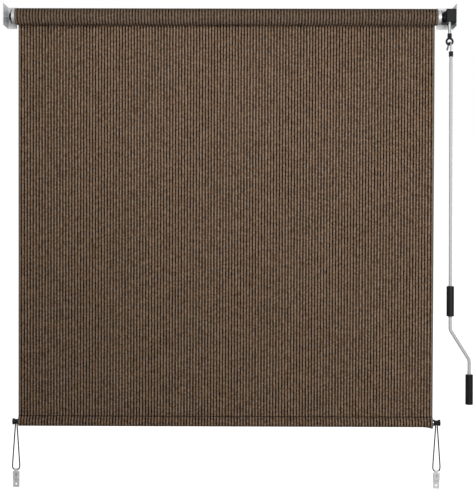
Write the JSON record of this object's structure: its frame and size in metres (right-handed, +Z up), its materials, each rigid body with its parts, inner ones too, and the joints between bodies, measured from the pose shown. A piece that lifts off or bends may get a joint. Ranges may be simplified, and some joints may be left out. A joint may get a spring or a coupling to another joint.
{
  "type": "outdoor roller shade",
  "caption": "Outdoor roller shade with ribbed knitted fabric, wall brackets, a worm gearbox with a hook-on crank rod, and a hem bar with elastic tie-down loops.",
  "frame": {"origin": "middle of the wall screw holes, in the wall plane, at the height of the roller axis", "axes": "+X along the roller to the crank side, +Y into the wall, +Z up"},
  "size_m": [1.5666, 0.0826, 1.6219],
  "materials": {
    "galvanised_steel": "galvanised",
    "zinc_plated_steel": "zinc plated",
    "galvanised_tube": "galvanised",
    "black_plastic": "moulded, fine grain",
    "gear_plastic": "moulded nylon",
    "grip_plastic": "moulded, smooth",
    "grey_paint": "powder coated light grey",
    "brown_knit": "knitted, ribbed",
    "aluminium_bar": "mill",
    "elastic_cord": "braided sleeve",
    "clip_steel": "zinc plated"
  },
  "bodies": {
    "frame": {"bracket_left": "galvanised_steel", "bracket_right": "galvanised_steel", "idler_pin": "zinc_plated_steel", "gearbox_inner": "black_plastic", "gearbox_outer": "black_plastic", "gearbox_screws": "zinc_plated_steel", "fabric_panel": "brown_knit"},
    "roller": {"roller_tube": "galvanised_tube", "fabric_roll": "brown_knit", "idler_plug": "black_plastic", "drive_plug": "black_plastic", "drive_shaft": "zinc_plated_steel", "worm_wheel": "gear_plastic"},
    "winch": {"worm_shaft": "zinc_plated_steel", "crank_eye": "black_plastic", "eye_pin": "zinc_plated_steel"},
    "crank": {"crank_hook": "zinc_plated_steel", "crank_collar": "black_plastic", "crank_rod": "grey_paint"},
    "upper_grip": {"upper_grip": "grip_plastic"},
    "lower_grip": {"lower_grip": "grip_plastic"},
    "hem": {"hem_bar": "aluminium_bar", "hem_cap_left": "black_plastic", "hem_cap_right": "black_plastic", "fabric_hem": "brown_knit", "bungee_left": "elastic_cord", "bungee_right": "elastic_cord", "tie_clip_left": "clip_steel", "tie_clip_right": "clip_steel"}
  },
  "joints": [
    {"name": "winch_turn", "type": "hinge", "parent": "frame", "child": "winch", "pos_m": [0.7435, -0.06163, 0], "axis": [0, 0, 1], "range_deg": [0, 30960]},
    {"name": "roller_turn", "type": "hinge", "parent": "frame", "child": "roller", "pos_m": [0, -0.042, 0], "axis": [1, 0, 0], "range_deg": [0, 2814.6]},
    {"name": "shade_lift", "type": "slide", "parent": "frame", "child": "hem", "axis": [0, 0, 1], "range_m": [0, 1.2773], "deforming": ["fabric_panel"]},
    {"name": "handle_swing", "type": "hinge", "parent": "winch", "child": "crank", "pos_m": [0.7435, -0.06163, -0.09475], "axis": [-1, 0, 0], "range_deg": [0, 50]},
    {"name": "upper_grip_spin", "type": "hinge", "parent": "crank", "child": "upper_grip", "pos_m": [0.74658, -0.07009, -0.948], "axis": [0, 0, 1], "continuous": true},
    {"name": "lower_grip_spin", "type": "hinge", "parent": "crank", "child": "lower_grip", "pos_m": [0.80998, -0.07009, -1.241], "axis": [0, 0, 1], "continuous": true}
  ],
  "couplings": [
    {"joint": "roller_turn", "follows": "winch_turn", "ratio": 0.090909},
    {"joint": "shade_lift", "follows": "winch_turn", "m_per_rad": 0.0023636}
  ]
}
